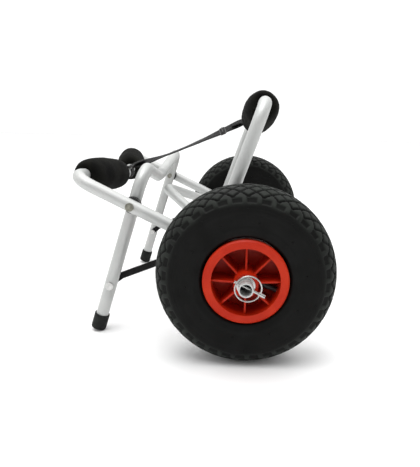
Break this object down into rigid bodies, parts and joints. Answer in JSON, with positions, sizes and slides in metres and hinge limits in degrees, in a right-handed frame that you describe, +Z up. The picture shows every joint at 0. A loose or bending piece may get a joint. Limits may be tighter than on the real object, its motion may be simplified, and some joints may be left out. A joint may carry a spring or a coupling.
{
  "type": "beach cart",
  "caption": "Folding aluminium beach cart for a kayak, with foam-padded cradle bars, a drop-down kickstand, ribbed plastic rims and pneumatic tyres.",
  "frame": {"origin": "on the ground, under the middle of the cart's box", "axes": "+Z up, +Y along the axle to the left wheel, -X towards the front cradle bar and the kickstand"},
  "size_m": [0.4164, 0.708, 0.3946],
  "materials": {
    "satin_aluminium": "satin drawn aluminium tube",
    "zinc_steel": "bright zinc-plated steel hardware",
    "bracket_steel": "black painted steel",
    "foam": "matt black closed-cell foam",
    "webbing": "black woven polypropylene webbing",
    "black_plastic": "matt moulded black plastic",
    "foot_rubber": "dark grey rubber",
    "tyre_rubber": "matt black tyre rubber",
    "tube_rubber": "smooth black butyl rubber",
    "rim_plastic": "orange-red moulded plastic",
    "bush_plastic": "off-white nylon"
  },
  "bodies": {
    "main_frame": {"main_frame_tube": "satin_aluminium", "axle_tube": "satin_aluminium", "axle_brace": "satin_aluminium", "hinge_brackets": "bracket_steel", "hinge_pins": "zinc_steel", "bracket_bolts": "zinc_steel", "bracket_nuts": "zinc_steel", "kickstand_bolts": "zinc_steel", "kickstand_nuts": "zinc_steel", "frame_saddles": "black_plastic", "tether_left": "webbing", "tether_right": "webbing", "frame_foam_left": "foam", "frame_foam_right": "foam", "top_strap": "webbing", "strap_slider": "black_plastic", "axle_collars": "zinc_steel", "outer_washers": "zinc_steel", "linch_pins": "zinc_steel"},
    "upright_frame": {"upright_frame_tube": "satin_aluminium", "upright_foam_left": "foam", "upright_foam_right": "foam"},
    "kickstand": {"kickstand_frame_tube": "satin_aluminium", "kickstand_saddles": "black_plastic", "foot_cap_left": "foot_rubber", "foot_cap_right": "foot_rubber", "tether_bolts": "zinc_steel", "tether_nuts": "zinc_steel"},
    "wheel_left": {"tyre_left": "tyre_rubber", "inner_tube_left": "tube_rubber", "rim_left": "rim_plastic", "hub_bushes_left": "bush_plastic", "valve_left": "tube_rubber"},
    "wheel_right": {"tyre_right": "tyre_rubber", "inner_tube_right": "tube_rubber", "rim_right": "rim_plastic", "hub_bushes_right": "bush_plastic", "valve_right": "tube_rubber"},
    "snap_ring_left": {"pin_ring_left": "zinc_steel"},
    "snap_ring_right": {"pin_ring_right": "zinc_steel"}
  },
  "joints": [
    {"name": "upright_fold", "type": "hinge", "parent": "main_frame", "child": "upright_frame", "pos_m": [0.03313, 0, 0.17933], "axis": [0, -1, 0], "range_deg": [0, 75], "deforming": ["top_strap"]},
    {"name": "kickstand_fold", "type": "hinge", "parent": "main_frame", "child": "kickstand", "pos_m": [-0.09851, 0, 0.21469], "axis": [0, -1, 0], "range_deg": [0, 66], "deforming": ["tether_left", "tether_right"]},
    {"name": "wheel_spin_left", "type": "hinge", "parent": "main_frame", "child": "wheel_left", "pos_m": [0.07825, 0.28, 0.13], "axis": [0, 1, 0], "continuous": true},
    {"name": "wheel_spin_right", "type": "hinge", "parent": "main_frame", "child": "wheel_right", "pos_m": [0.07825, -0.28, 0.13], "axis": [0, 1, 0], "continuous": true},
    {"name": "ring_swing_left", "type": "hinge", "parent": "main_frame", "child": "snap_ring_left", "pos_m": [0.09712, 0.341, 0.12079], "axis": [-0.4384, 0, -0.8988], "range_deg": [0, 100]},
    {"name": "ring_swing_right", "type": "hinge", "parent": "main_frame", "child": "snap_ring_right", "pos_m": [0.09712, -0.341, 0.12079], "axis": [0.4384, 0, 0.8988], "range_deg": [0, 100]}
  ]
}
